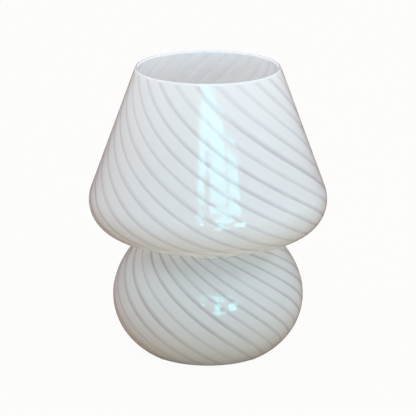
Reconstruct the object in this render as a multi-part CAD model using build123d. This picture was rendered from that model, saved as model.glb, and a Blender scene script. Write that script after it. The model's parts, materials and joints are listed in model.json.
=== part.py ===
from build123d import *
import os
from math import asin, atan2, copysign, cos, degrees, hypot, radians, sin, sqrt, tan

# Mushroom table lamp: one blown opal glass, open at the top, with an E27
# lampholder on a three-armed spider that sits on the inner ridge of the neck.
# Millimetres, +Z up. The origin is on the table, on the lamp's axis.
# The cord's inlet is at the back, towards +Y.

# ---- foot pads
pad_height = 1.2
pad_radius = 4.0
pad_count = 4
pad_first_angle = 45.0

# ---- glass
glass_height = 230.0  # from the foot's flat to the top of the lip
wall = 3.0
rim_radius = 56.9  # outside, where the cone's line meets the lip's top
shoulder_radius = 25.1
underside_radius = 40.9
neck_radius = 50.8  # outside, at its narrowest
neck_crease_radius = 4.1
base_top_radius = 68.0
base_side_radius = 48.9
base_low_radius = 56.9
# where one bend of the wall runs into the next: the wall's heading on its way
# down, in degrees outwards from straight down
shoulder_end_angle = -66.4
underside_end_angle = -101.0
neck_end_angle = 50.9
base_top_end_angle = 16.3
base_side_end_angle = -33.5
foot_angle = -55.3
foot_edge_fillet = 1.0
foot_ring_width = 9.5  # flat ring that the pads are stuck to
push_up = 5.0  # how far the middle of the foot is raised
floor_thickness = 4.5
floor_fillet = 5.0

# ---- cord inlet
inlet_height = 24.0  # above the foot's flat
inlet_hole_radius = 5.5
inlet_bore_radius = 3.5
grommet_flange_radius = 8.0
grommet_flange_thickness = 2.4
grommet_edge = 0.8

# ---- clearances
seat_gap = 0.3  # spider's shoes to the neck's ridge
seat_inset = 2.0  # shoes end this far inside the ridge's crown, so that they pass the lip
fit_gap = 0.05  # turned parts that screw or slide into each other
thread_gap = 0.3  # bulb cap's crests to the screw shell
contact_gap = 0.1  # bulb's centre contact to the sprung tongue

# ---- spider
arm_count = 3
arm_first_angle = 30.0
arm_width = 10.0
arm_thickness = 1.0
plate_thickness = 1.5
plate_to_shoe = 2.4
rivet_edge = 4.5  # rivets' centres inside the plate's edge
rivet_radius = 2.0
rivet_head_radius = 3.3
rivet_head_height = 1.2
arm_inner_overlap = 4.0  # arm's end inside the rivet's centre
ring_to_arm = 2.5
shoe_wall = 1.5
shoe_length = 12.5
shoe_width = 14.0
shoe_drop = 1.2  # shoe's lower end above the ridge's middle
shoe_edge = 0.6

# ---- lampholder
skirt_radius = 19.75
skirt_wall = 2.2
skirt_above_plate = 12.0
skirt_above_ledge = 2.0  # skirt's lower end above the dome's ledge
skirt_lip_gap = 1.3  # skirt's lip to the bulb's collar
skirt_lip_thickness = 1.5
ring_thickness = 5.0
ring_grip_count = 24
ring_grip_radius = 0.9
dome_wall = 1.85
dome_overlap = 14.0  # dome's sleeve over the skirt
dome_ledge_width = 1.3  # how far the ledge reaches under the insert
dome_shoulder_drop = 2.0  # outer shoulder's edge below the ledge
dome_height_below_ledge = 22.0
dome_boss_radius = 8.5
dome_boss_height = 4.0
dome_bottom_wall = 2.0
cord_opening_radius = 4.5
insert_gap = 0.25  # insert's edge to the skirt's inside
insert_thickness = 10.0
contact_depth = 26.0  # bulb's contact below the skirt's upper edge
tongue_height = 5.0
shell_inner_radius = 13.4
shell_wall = 0.6
shell_height = 26.0
shell_mouth_radius = 8.0
shell_rivet_inset = 0.6  # rivet's head to the shell's wall
shell_rivet_radius = 1.2
shell_rivet_head_radius = 2.0
shell_rivet_head_height = 0.8
shell_rivet_depth = 5.0
strip_width = 6.0
strip_thickness = 0.6
strip_foot_thickness = 0.8
tongue_half_length = 5.4
terminal_radius = 11.0
terminal_foot_edge = 3.0  # strip's end beyond the screw's centre
screw_radius = 1.7
screw_depth = 6.0
screw_head_radius = 2.9
screw_head_height = 2.0
screw_slot_width = 0.8
screw_slot_depth = 0.8

# ---- LED bulb
bulb_cap_wall = 0.4
bulb_cap_above_contact = 5.4
bulb_cap_height = 22.0
bulb_cap_mouth_lip = 1.6
bulb_cap_collar_flare = 0.8
bulb_cap_collar_height = 1.5
button_radius = 4.8
button_height = 1.3
insulator_tip_radius = 5.5
insulator_flange_gap = 0.3  # flange's edge to the cap's inside
insulator_flange_thickness = 1.0
housing_wall = 1.6
housing_neck_step = 0.3  # housing's shoulder beyond the collar
housing_spigot_length = 12.0
housing_height = 33.4
globe_radius = 30.0
globe_wall = 1.2
globe_centre_above_joint = 14.0
led_board_thickness = 1.5
led_board_below_joint = 3.0
led_board_ledge = 1.5
led_count = 12
led_circle_radius = 16.0
led_length = 3.5
led_width = 2.8
led_height = 0.8
driver_board_thickness = 1.2
driver_board_side_gap = 0.2
driver_board_below_cap_top = 10.0
capacitor_radius = 4.6
capacitor_height = 13.0
capacitor_above_cap = 8.0
coil_radius = 5.0
coil_height = 9.0
coil_above_cap = 9.0
bridge_size = 6.0
bridge_thickness = 2.4
bridge_above_cap = -4.0
part_gap = 0.1  # components to the driver board


# ---- helpers
def point(radius, height):
    """Point of a section through the axis."""
    return Vector(radius, 0, height)


def inward(heading):
    """Normal towards the axis of a wall that runs down at this heading."""
    angle = radians(heading)
    return point(-cos(angle), -sin(angle))


def on_bend(centre, radius, heading, side=1):
    """Point of a bend where the wall has this heading; side is -1 where it is concave."""
    return centre - inward(heading) * (side * radius)


def arc(centre, radius, heading_from, heading_to, side=1):
    """Arc of a wall from one heading to another."""
    halfway = (heading_from + heading_to) / 2
    return ThreePointArc(*[on_bend(centre, radius, heading, side)
                           for heading in (heading_from, halfway, heading_to)])


def turned(*corners):
    """Solid of revolution from its section's corners, (radius, height)."""
    section = Polyline(*[point(r, z) for r, z in corners], close=True)
    return revolve(make_face(section), Axis.Z)


def tube(inner, outer, low, high):
    return turned((inner, low), (outer, low), (outer, high), (inner, high))


def disc(radius, low, high):
    return Pos(0, 0, (low + high) / 2) * Cylinder(radius, high - low)


def block(x_low, x_high, width, z_low, z_high):
    """Box centred on y = 0."""
    middle = Pos((x_low + x_high) / 2, 0, (z_low + z_high) / 2)
    return middle * Box(x_high - x_low, width, z_high - z_low)


def save(name, shape):
    shape.label = name
    export_step(shape, f"parts/{name}.step")


# ---- section of the glass, worked out from its bends
foot_z = pad_height
rim_z = foot_z + glass_height
lip_radius = wall / 2

# from the neck's crease down to the foot, then from the crease up to the shoulder
neck_middle = point(neck_radius + neck_crease_radius, 0)
base_top_middle = (on_bend(neck_middle, neck_crease_radius, neck_end_angle, -1)
                   + inward(neck_end_angle) * base_top_radius)
base_side_middle = (on_bend(base_top_middle, base_top_radius, base_top_end_angle)
                    + inward(base_top_end_angle) * base_side_radius)
base_low_middle = (on_bend(base_side_middle, base_side_radius, base_side_end_angle)
                   + inward(base_side_end_angle) * base_low_radius)
underside_middle = (on_bend(neck_middle, neck_crease_radius, underside_end_angle, -1)
                    + inward(underside_end_angle) * underside_radius)
shoulder_middle = (on_bend(underside_middle, underside_radius, shoulder_end_angle)
                   + inward(shoulder_end_angle) * shoulder_radius)
rise = point(0, foot_z - on_bend(base_low_middle, base_low_radius, foot_angle).Z)

# the cone runs straight from the lip to touch the shoulder
shoulder_out = shoulder_middle.X - rim_radius
shoulder_down = rim_z - (shoulder_middle + rise).Z
cone_angle = degrees(atan2(shoulder_out, shoulder_down)
                     + asin(shoulder_radius / hypot(shoulder_out, shoulder_down)))
bends = (
    (shoulder_middle + rise, shoulder_radius, cone_angle, shoulder_end_angle, 1),
    (underside_middle + rise, underside_radius, shoulder_end_angle, underside_end_angle, 1),
    (neck_middle + rise, neck_crease_radius, underside_end_angle, neck_end_angle, -1),
    (base_top_middle + rise, base_top_radius, neck_end_angle, base_top_end_angle, 1),
    (base_side_middle + rise, base_side_radius, base_top_end_angle, base_side_end_angle, 1),
    (base_low_middle + rise, base_low_radius, base_side_end_angle, foot_angle, 1),
)
foot_corner = on_bend(base_low_middle + rise, base_low_radius, foot_angle)

down_cone = point(sin(radians(cone_angle)), -cos(radians(cone_angle)))
outer_start_z = rim_z - lip_radius * (1 - sin(radians(cone_angle)))
outer_start = point(rim_radius + (rim_z - outer_start_z) * tan(radians(cone_angle)), outer_start_z)
inner_start = outer_start + inward(cone_angle) * wall

ridge_centre = bends[2][0]
ridge_radius = neck_crease_radius + wall
ridge_top_z = ridge_centre.Z + ridge_radius


# ---- glass
foot_ring_radius = foot_corner.X - foot_ring_width
push_up_sphere = (foot_ring_radius**2 + push_up**2) / (2 * push_up)
push_up_centre_z = foot_z + push_up - push_up_sphere
floor_z = foot_z + floor_thickness
floor_sphere = push_up_sphere + floor_thickness


def glass_section():
    outer = [arc(*bend) for bend in bends]
    inner = [arc(centre, radius - side * wall, *headings, side)
             for centre, radius, *headings, side in bends[:-1]]
    low_centre, low_radius = bends[-1][0], base_low_radius - wall
    floor_heading = -degrees(asin((low_centre.Z - floor_z) / low_radius))
    inner.append(arc(low_centre, low_radius, base_side_end_angle, floor_heading))
    floor_corner = inner[-1] @ 1
    floor_edge = sqrt(floor_sphere**2 - (floor_z - push_up_centre_z) ** 2)
    foot_inner = point(foot_ring_radius, foot_z)
    push_up_top = point(0, foot_z + push_up)
    floor_top = point(0, floor_z + push_up)
    floor_ring = point(floor_edge, floor_z)
    half_ring = foot_ring_radius / 2
    half_push = push_up_centre_z + sqrt(push_up_sphere**2 - half_ring**2)
    half_floor = push_up_centre_z + sqrt(floor_sphere**2 - (floor_edge / 2) ** 2)
    lip_centre = (outer_start + inner_start) / 2
    edges = [
        Line(outer_start, outer[0] @ 0),
        *outer,
        Line(foot_corner, foot_inner),
        ThreePointArc(foot_inner, point(half_ring, half_push), push_up_top),
        Line(push_up_top, floor_top),
        ThreePointArc(floor_top, point(floor_edge / 2, half_floor), floor_ring),
        Line(floor_ring, floor_corner),
        *inner,
        Line(inner[0] @ 0, inner_start),
        ThreePointArc(inner_start, lip_centre - down_cone * lip_radius, outer_start),
    ]
    section = make_face(Curve(children=edges))
    section = fillet(section.vertices().sort_by_distance(floor_corner)[0], floor_fillet)
    return fillet(section.vertices().sort_by_distance(foot_corner)[0], foot_edge_fillet)


side_centre = bends[4][0]
inlet_rise = (foot_z + inlet_height - side_centre.Z) / base_side_radius  # sine of the wall's lean
inlet_out = Vector(0, sqrt(1 - inlet_rise**2), inlet_rise)
inlet_outside = Vector(0, side_centre.X, side_centre.Z) + inlet_out * base_side_radius
inlet_plane = Plane(origin=inlet_outside - inlet_out * (wall / 2), x_dir=(1, 0, 0), z_dir=inlet_out)
grommet_length = wall + 2 * grommet_flange_thickness


def make_glass_body():
    body = revolve(glass_section(), Axis.Z)
    return body - inlet_plane * Cylinder(inlet_hole_radius, grommet_length + wall)


def make_cord_grommet(glass):
    bush = Cylinder(grommet_flange_radius, grommet_length)
    bush = fillet(bush.edges().filter_by(GeomType.CIRCLE), grommet_edge)
    bush = bush - Cylinder(inlet_bore_radius, grommet_length)
    return inlet_plane * bush - glass


def make_foot_pads():
    circle_radius = foot_ring_radius + foot_ring_width / 2
    places = PolarLocations(circle_radius, pad_count, start_angle=pad_first_angle)
    return Compound(children=[place * disc(pad_radius, 0, pad_height) for place in places])


# ---- spider
arm_low = ridge_top_z + seat_gap + shoe_wall
arm_high = arm_low + arm_thickness
plate_low = arm_low - plate_thickness
reach = ridge_centre.X - seat_inset
plate_radius = reach - shoe_length - plate_to_shoe
rivet_circle_radius = plate_radius - rivet_edge
arm_inner = rivet_circle_radius - arm_inner_overlap
arm_outer = reach - shoe_wall
ring_radius = arm_inner - ring_to_arm


def make_spider_plate():
    plate = tube(skirt_radius + fit_gap, plate_radius, plate_low, arm_low)
    for place in PolarLocations(rivet_circle_radius, arm_count, start_angle=arm_first_angle):
        plate -= place * disc(rivet_radius, plate_low, arm_low)
    return plate


def make_spring_arm():
    """Arm along +X; the lampholder's axis is z."""
    leaf = block(arm_inner, reach, arm_width, arm_low, arm_high) & disc(arm_outer, arm_low, arm_high)
    return leaf - Pos(rivet_circle_radius, 0, 0) * disc(rivet_radius, arm_low, arm_high)


def make_arm_sleeve(arm):
    """Silicone shoe along +X, hollowed for the arm's tip and cut to the neck's ridge."""
    low = ridge_centre.Z + shoe_drop
    high = arm_high + shoe_wall
    shoe = block(reach - shoe_length, reach, shoe_width, low, high) & disc(reach, low, high)
    shoe = fillet(shoe.edges().filter_by(Axis.Z), shoe_edge)
    ridge = Pos(0, 0, ridge_centre.Z) * Torus(ridge_centre.X, ridge_radius + seat_gap)
    return shoe - ridge - arm


def make_arm_rivets():
    rivet = disc(rivet_radius, plate_low, arm_high)
    rivet += disc(rivet_head_radius, plate_low - rivet_head_height, plate_low)
    rivet += disc(rivet_head_radius, arm_high, arm_high + rivet_head_height)
    rivet = fillet(rivet.edges().group_by(Axis.Z)[-1], rivet_head_height / 2)
    places = PolarLocations(rivet_circle_radius, arm_count, start_angle=arm_first_angle)
    return Compound(children=[place * rivet for place in places])


# ---- lampholder
skirt_top = arm_low + skirt_above_plate
contact_z = skirt_top - contact_depth
insert_top = contact_z - tongue_height
insert_low = insert_top - insert_thickness
skirt_low = insert_low + skirt_above_ledge
skirt_inner = skirt_radius - skirt_wall
insert_radius = skirt_inner - insert_gap
shell_rivet_circle_radius = shell_inner_radius - shell_rivet_head_radius - shell_rivet_inset
terminal_foot_end = terminal_radius + terminal_foot_edge
bulb_cap_radius = shell_inner_radius - thread_gap
bulb_cap_collar_radius = bulb_cap_radius + bulb_cap_collar_flare


def make_clamp_ring(low):
    ring = tube(skirt_radius + fit_gap, ring_radius, low, low + ring_thickness)
    for place in PolarLocations(ring_radius, ring_grip_count):
        ring -= place * disc(ring_grip_radius, low, low + ring_thickness)
    return ring


def make_holder_skirt():
    lip_low = skirt_top - skirt_lip_thickness
    lip_inner = bulb_cap_collar_radius + skirt_lip_gap
    return turned(
        (skirt_inner, skirt_low),
        (skirt_radius, skirt_low),
        (skirt_radius, skirt_top),
        (lip_inner, skirt_top),
        (lip_inner, lip_low),
        (skirt_inner, lip_low),
    )


def make_holder_dome():
    sleeve_inner = skirt_radius + fit_gap
    sleeve_outer = sleeve_inner + dome_wall
    shoulder_z = insert_low - dome_shoulder_drop
    ledge_inner = insert_radius - dome_ledge_width
    boss_top = insert_low - dome_height_below_ledge + dome_boss_height
    return turned(
        (sleeve_inner, skirt_low + dome_overlap),
        (sleeve_outer, skirt_low + dome_overlap),
        (sleeve_outer, shoulder_z),
        (dome_boss_radius, boss_top),
        (dome_boss_radius, boss_top - dome_boss_height),
        (cord_opening_radius, boss_top - dome_boss_height),
        (cord_opening_radius, boss_top + dome_bottom_wall),
        (ledge_inner, shoulder_z - dome_bottom_wall),
        (ledge_inner, insert_low),
        (sleeve_inner, insert_low),
    )


def strip(points):
    """Bent contact strip: a section in the XZ plane, given a width along Y."""
    section = make_face(Polyline(*[point(x, z) for x, z in points], close=True))
    return extrude(section, strip_width / 2, both=True)


leg_x = tongue_half_length + strip_thickness  # outer face of a contact's leg
foot_low = insert_low - strip_foot_thickness


def make_centre_contact():
    """Base on the insert, tongue folded back over it, leg through the insert to its terminal."""
    t = strip_thickness
    pad_top = contact_z - contact_gap
    pad_half = tongue_half_length / 2
    return strip(
        [
            (-leg_x, foot_low),
            (-leg_x, insert_top + t),
            (tongue_half_length - t, insert_top + t),
            (pad_half, pad_top - t),
            (-pad_half, pad_top - t),
            (-pad_half, pad_top),
            (pad_half + t / 2, pad_top),
            (tongue_half_length, insert_top + t),
            (tongue_half_length, insert_top),
            (-tongue_half_length, insert_top),
            (-tongue_half_length, foot_low),
        ]
    ) + terminal_foot(-1)


def terminal_foot(side):
    """Flat end of a contact strip under the insert, with the screw's hole."""
    near = tongue_half_length
    ends = sorted((side * near, side * terminal_foot_end))
    foot = block(*ends, strip_width, foot_low, insert_low)
    return foot - Pos(side * terminal_radius, 0, 0) * disc(screw_radius, foot_low, insert_low)


def make_side_contact():
    """Leg through the insert from the screw shell's floor to its terminal."""
    near = tongue_half_length
    head = block(near, terminal_radius, strip_width, insert_top - strip_foot_thickness, insert_top)
    leg = block(near, leg_x, strip_width, foot_low, insert_top)
    return head + leg + terminal_foot(1)


def make_holder_insert(contacts):
    body = disc(insert_radius, insert_low, insert_top)
    for side in (-1, 1):
        body -= Pos(side * terminal_radius, 0, 0) * disc(screw_radius, insert_low, insert_low + screw_depth)
        body -= Pos(0, side * shell_rivet_circle_radius, 0) * disc(
            shell_rivet_radius, insert_top - shell_rivet_depth, insert_top)
    for contact in contacts:
        body -= contact
    return body


def make_screw_shell():
    outer = shell_inner_radius + shell_wall
    shell = turned(
        (shell_mouth_radius, insert_top),
        (outer, insert_top),
        (outer, insert_top + shell_height),
        (shell_inner_radius, insert_top + shell_height),
        (shell_inner_radius, insert_top + shell_wall),
        (shell_mouth_radius, insert_top + shell_wall),
    )
    for side in (-1, 1):
        shell -= Pos(0, side * shell_rivet_circle_radius, 0) * disc(
            shell_rivet_radius, insert_top, insert_top + shell_wall)
    return shell


def make_shell_rivets():
    floor = insert_top + shell_wall
    rivet = disc(shell_rivet_radius, insert_top - shell_rivet_depth, floor)
    rivet += disc(shell_rivet_head_radius, floor, floor + shell_rivet_head_height)
    rivets = [Pos(0, side * shell_rivet_circle_radius, 0) * rivet for side in (-1, 1)]
    return Compound(children=rivets)


def make_terminal_screws():
    head_low = foot_low - screw_head_height
    screw = disc(screw_radius, foot_low, insert_low + screw_depth)
    screw += disc(screw_head_radius, head_low, foot_low)
    slot_top = head_low + screw_slot_depth
    screw -= block(-screw_head_radius, screw_head_radius, screw_slot_width, head_low, slot_top)
    return Compound(children=[Pos(side * terminal_radius, 0, 0) * screw for side in (-1, 1)])


# ---- LED bulb
bulb_cap_low = contact_z + bulb_cap_above_contact
bulb_cap_top = bulb_cap_low + bulb_cap_height
joint_z = bulb_cap_top + housing_height
globe_centre_z = joint_z + globe_centre_above_joint
joint_radius = sqrt(globe_radius**2 - globe_centre_above_joint**2)
bulb_cap_mouth_radius = bulb_cap_radius - bulb_cap_mouth_lip
housing_neck_radius = bulb_cap_collar_radius + housing_neck_step
spigot_radius = bulb_cap_radius - bulb_cap_wall - fit_gap
led_board_top = joint_z - led_board_below_joint
led_board_low = led_board_top - led_board_thickness
driver_low = bulb_cap_top - driver_board_below_cap_top


def make_bulb_contact():
    button = disc(button_radius, contact_z, contact_z + button_height)
    return fillet(button.edges().group_by(Axis.Z)[0], button_height / 2)


def make_bulb_insulator():
    tip = contact_z + button_height
    neck = bulb_cap_mouth_radius - fit_gap
    flange_low = bulb_cap_low + bulb_cap_wall
    flange_radius = bulb_cap_radius - bulb_cap_wall - insulator_flange_gap
    return turned(
        (0, tip),
        (insulator_tip_radius, tip),
        (neck, bulb_cap_low),
        (neck, flange_low),
        (flange_radius, flange_low),
        (flange_radius, flange_low + insulator_flange_thickness),
        (0, flange_low + insulator_flange_thickness),
    )


def make_bulb_cap():
    inner = bulb_cap_radius - bulb_cap_wall
    collar_low = bulb_cap_top - bulb_cap_collar_height
    return turned(
        (bulb_cap_mouth_radius, bulb_cap_low),
        (bulb_cap_radius, bulb_cap_low),
        (bulb_cap_radius, collar_low),
        (bulb_cap_collar_radius, bulb_cap_top),
        (inner, bulb_cap_top),
        (inner, bulb_cap_low + bulb_cap_wall),
        (bulb_cap_mouth_radius, bulb_cap_low + bulb_cap_wall),
    )


def flank_circle(offset):
    """Centre and radius of the housing's side, offset inwards; it runs on from the globe.

    The radius is negative where the side bulges.
    """
    joint = point(joint_radius - offset, joint_z)
    neck = point(housing_neck_radius - offset, bulb_cap_top)
    outwards = point(joint_radius, -globe_centre_above_joint) / globe_radius
    down = neck - joint
    radius = down.length**2 / (2 * outwards.dot(down))
    return joint + outwards * radius, radius


def flank_point(offset, height):
    centre, radius = flank_circle(offset)
    return point(centre.X - copysign(sqrt(radius**2 - (height - centre.Z) ** 2), radius), height)


def housing_flank(offset):
    """Arc of the housing's side from the joint down to the cap."""
    return ThreePointArc(*[flank_point(offset, height) for height in
                           (joint_z, (joint_z + bulb_cap_top) / 2, bulb_cap_top)])


def make_bulb_housing():
    outer = housing_flank(0)
    inner = housing_flank(housing_wall)
    spigot_low = bulb_cap_top - housing_spigot_length
    bore = spigot_radius - housing_wall
    edges = [
        outer,
        Polyline(outer @ 1, point(spigot_radius, bulb_cap_top), point(spigot_radius, spigot_low),
                 point(bore, spigot_low), point(bore, bulb_cap_top), inner @ 1),
        inner,
        Line(inner @ 0, outer @ 0),
    ]
    body = revolve(make_face(Curve(children=edges)), Axis.Z)
    ledge_low = led_board_low - led_board_ledge
    ledge_inner = led_board_radius - led_board_ledge
    ledge = turned(
        (ledge_inner, ledge_low),
        (flank_point(housing_wall / 2, ledge_low).X, ledge_low),
        (flank_point(housing_wall / 2, led_board_low).X, led_board_low),
        (ledge_inner, led_board_low),
    )
    return body + ledge


led_board_radius = flank_point(housing_wall, led_board_low).X - fit_gap


def make_bulb_globe():
    solid = Pos(0, 0, globe_centre_z) * (Sphere(globe_radius) - Sphere(globe_radius - globe_wall))
    return solid - disc(2 * globe_radius, globe_centre_z - 2 * globe_radius, joint_z)


def make_led_board():
    return disc(led_board_radius, led_board_low, led_board_top)


def make_led_chips():
    chip = Pos(0, 0, led_board_top + led_height / 2) * Box(led_width, led_length, led_height)
    return Compound(children=[place * chip for place in PolarLocations(led_circle_radius, led_count)])


def make_driver_board():
    bore = spigot_radius - housing_wall
    half = sqrt(bore**2 - (driver_board_thickness / 2) ** 2) - driver_board_side_gap
    return block(-half, half, driver_board_thickness, driver_low, led_board_low)


def standing(radius, height, above_cap, side):
    """Upright round component beside the driver board."""
    low = bulb_cap_top + above_cap
    offset = driver_board_thickness / 2 + part_gap + radius
    return Pos(0, side * offset, 0) * disc(radius, low, low + height)


def make_driver_bridge():
    low = bulb_cap_top + bridge_above_cap
    half = bridge_size / 2
    offset = driver_board_thickness / 2 + part_gap + bridge_thickness / 2
    return Pos(0, offset, 0) * block(-half, half, bridge_thickness, low, low + bridge_size)


# ---- all pieces
os.makedirs("parts", exist_ok=True)

glass_body = make_glass_body()
save("glass_body", glass_body)
save("cord_grommet", make_cord_grommet(glass_body))
save("foot_pads", make_foot_pads())

save("spider_plate", make_spider_plate())
spring_arm = make_spring_arm()
arm_sleeve = make_arm_sleeve(spring_arm)
for number in range(arm_count):
    turn = Rot(0, 0, arm_first_angle + number * 360 / arm_count)
    save(f"spring_arm_{number + 1}", turn * spring_arm)
    save(f"arm_sleeve_{number + 1}", turn * arm_sleeve)
save("arm_rivets", make_arm_rivets())

save("clamp_ring_upper", make_clamp_ring(arm_low))
save("clamp_ring_lower", make_clamp_ring(plate_low - ring_thickness))
save("holder_skirt", make_holder_skirt())
save("holder_dome", make_holder_dome())
centre_contact = make_centre_contact()
side_contact = make_side_contact()
save("centre_contact", centre_contact)
save("side_contact", side_contact)
save("holder_insert", make_holder_insert([centre_contact, side_contact]))
save("screw_shell", make_screw_shell())
save("shell_rivets", make_shell_rivets())
save("terminal_screws", make_terminal_screws())

save("bulb_contact", make_bulb_contact())
save("bulb_insulator", make_bulb_insulator())
save("bulb_cap", make_bulb_cap())
save("bulb_housing", make_bulb_housing())
save("bulb_globe", make_bulb_globe())
save("led_board", make_led_board())
save("led_chips", make_led_chips())
save("driver_board", make_driver_board())
save("driver_capacitor", standing(capacitor_radius, capacitor_height, capacitor_above_cap, 1))
save("driver_coil", standing(coil_radius, coil_height, coil_above_cap, -1))
save("driver_bridge", make_driver_bridge())

print("pads on a circle of", foot_ring_radius + foot_ring_width / 2, "cone leans", cone_angle)
print("inlet at", inlet_plane.origin, "towards", inlet_out, "length", grommet_length)
print("ridge top", ridge_top_z, "arm low", arm_low, "skirt top", skirt_top, "contact", contact_z)
print("dome low", insert_low - dome_height_below_ledge, "globe top", globe_centre_z + globe_radius)
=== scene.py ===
"""Mushroom table lamp: one blown, swirled opal glass round a lampholder and bulb.

Everything is in metres, +Z up, with the table at z = 0 and the lamp's axis at x = y = 0.
"""

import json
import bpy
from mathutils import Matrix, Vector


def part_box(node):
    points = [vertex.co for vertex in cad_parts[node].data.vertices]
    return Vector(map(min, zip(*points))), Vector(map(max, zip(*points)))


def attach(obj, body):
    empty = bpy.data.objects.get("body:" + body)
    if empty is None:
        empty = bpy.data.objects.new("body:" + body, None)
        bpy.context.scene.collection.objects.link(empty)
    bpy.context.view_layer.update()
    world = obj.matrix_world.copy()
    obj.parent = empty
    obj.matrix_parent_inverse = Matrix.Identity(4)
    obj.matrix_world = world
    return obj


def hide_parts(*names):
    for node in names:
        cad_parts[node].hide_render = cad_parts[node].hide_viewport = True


bl_info = {
    "name": "Mushroom table lamp",
    "version": (1, 0, 0),
    "blender": (4, 5, 0),
    "location": "View3D > Sidebar > Lamp",
    "description": "Builds a mushroom table lamp in swirled opal glass",
    "category": "Object",
}

from collections import namedtuple
from contextlib import contextmanager
from functools import cached_property
from math import asin, atan2, ceil, cos, erf, hypot, pi, radians, sin, tan

import bmesh
import bpy
from bpy.props import FloatProperty, FloatVectorProperty, IntProperty, PointerProperty
from mathutils import Matrix, Vector

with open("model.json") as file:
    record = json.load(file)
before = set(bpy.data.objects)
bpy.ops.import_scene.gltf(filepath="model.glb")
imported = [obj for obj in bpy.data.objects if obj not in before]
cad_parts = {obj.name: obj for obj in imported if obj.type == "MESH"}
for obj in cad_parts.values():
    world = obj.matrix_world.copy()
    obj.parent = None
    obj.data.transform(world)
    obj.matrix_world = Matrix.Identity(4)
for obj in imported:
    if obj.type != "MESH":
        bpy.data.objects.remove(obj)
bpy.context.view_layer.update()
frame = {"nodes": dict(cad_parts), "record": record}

MM = 0.001
TURN = 2 * pi
WHITE = (1.0, 1.0, 1.0)


# ---- node trees as expressions
def maths_operator(operation, swapped=False):
    """A method that joins a signal and the other value with a Math node."""

    def apply(self, *other):
        return self.net.maths(operation, *((*other, self) if swapped else (self, *other)))

    return apply


class Signal:
    """A socket of a node tree, so that its maths reads as a Python expression."""

    __add__ = __radd__ = maths_operator("ADD")
    __mul__ = __rmul__ = maths_operator("MULTIPLY")
    __sub__ = maths_operator("SUBTRACT")
    __rsub__ = maths_operator("SUBTRACT", swapped=True)
    __truediv__ = maths_operator("DIVIDE")
    __pow__ = maths_operator("POWER")
    __abs__ = maths_operator("ABSOLUTE")

    def __init__(self, net, socket):
        self.net = net
        self.socket = socket

    def also(self, output):
        """Another output of the node that this signal comes from."""
        return Signal(self.net, self.socket.node.outputs[output])

    def step(self, low, high):
        """0 below low, 1 above high, and smooth between them; high may lie below low."""
        span = {"Value": self, "From Min": low, "From Max": high}
        return self.net.node("ShaderNodeMapRange", {"interpolation_type": "SMOOTHSTEP"}, span)

    def plateau(self, begin, full, fall, end):
        """1 from full to fall, and 0 below begin and above end."""
        return self.step(begin, full) * self.step(end, fall)


class Net:
    """Adds nodes to one emptied tree, either a material's, the world's or a geometry tree."""

    def __init__(self, tree):
        self.tree = tree
        self.tree.nodes.clear()

    def node(self, kind, settings=(), inputs=(), output=0):
        """Adds a node: its settings, then the values or links of its sockets. Gives one output."""
        node = self.tree.nodes.new(kind)
        for name, value in dict(settings).items():
            if name == "captures":
                for label in value:
                    node.capture_items.new("FLOAT", label)
            else:
                setattr(node, name, value)
        for key, value in dict(inputs).items():
            if isinstance(value, Signal):
                self.tree.links.new(value.socket, node.inputs[key])
            else:
                node.inputs[key].default_value = value
        return Signal(self, node.outputs[output]) if node.outputs else None

    def maths(self, operation, *values):
        return self.node("ShaderNodeMath", {"operation": operation}, dict(enumerate(values)))

    def split(self, vector):
        """The first part of a vector; the others are its also(1) and also(2)."""
        return self.node("ShaderNodeSeparateXYZ", {}, {0: vector})

    def join(self, *parts):
        return self.node("ShaderNodeCombineXYZ", {}, dict(enumerate(parts)))

    def mix(self, amount, low, high):
        """Colour low where the amount is 0, high where it is 1; the Mix node takes them at 6 and 7."""
        low, high = (end if isinstance(end, Signal) else opaque(end) for end in (low, high))
        return self.node("ShaderNodeMix", {"data_type": "RGBA"}, {0: amount, 6: low, 7: high}, 2)


class Finish(Net):
    """A procedural material and what feeds it."""

    def __init__(self, name):
        self.material = bpy.data.materials.new(name)
        self.material.use_nodes = True
        super().__init__(self.material.node_tree)

    @cached_property
    def place(self):
        return self.node("ShaderNodeTexCoord", output="Object")

    def noise(self, scale, detail=3.0, roughness=0.5, place=None):
        """Noise from 0 to 1 with its features about 1 / scale metres wide."""
        sockets = {"Vector": place or self.place, "Scale": scale, "Detail": detail, "Roughness": roughness}
        return self.node("ShaderNodeTexNoise", {}, sockets, "Fac")

    def stretched(self, scale, turn=0.0):
        """Object coordinates scaled along each axis, after a turn about the lamp's axis."""
        turned = self.node("ShaderNodeMapping", {"vector_type": "POINT"},
                           {"Vector": self.place, "Rotation": (0, 0, turn)})
        return self.node("ShaderNodeVectorMath", {"operation": "MULTIPLY"}, {0: turned, 1: scale})

    def bump(self, height, distance):
        return self.node("ShaderNodeBump", {}, {"Height": height, "Distance": distance})

    def shade(self, **sockets):
        """Closes the material with a Principled shader; a name's underscores are spaces."""
        inputs = {name.replace("_", " "): value for name, value in sockets.items()}
        return self.close(self.node("ShaderNodeBsdfPrincipled", {}, inputs))

    def close(self, shader):
        self.node("ShaderNodeOutputMaterial", {}, {"Surface": shader})
        return self.material


def opaque(colour):
    """A colour with its alpha."""
    return (*colour, 1.0)


# ---- sizes and colours that a user would change
def length(name, description, default):
    return FloatProperty(name=name, description=description, default=default, min=0.0,
                         unit="LENGTH", subtype="DISTANCE")


def angle(name, description, default):
    return FloatProperty(name=name, description=description, default=radians(default),
                         unit="ROTATION", subtype="ANGLE")


def colour(name, description, default):
    return FloatVectorProperty(name=name, description=description, default=default,
                               size=3, min=0.0, max=1.0, subtype="COLOR")


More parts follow.
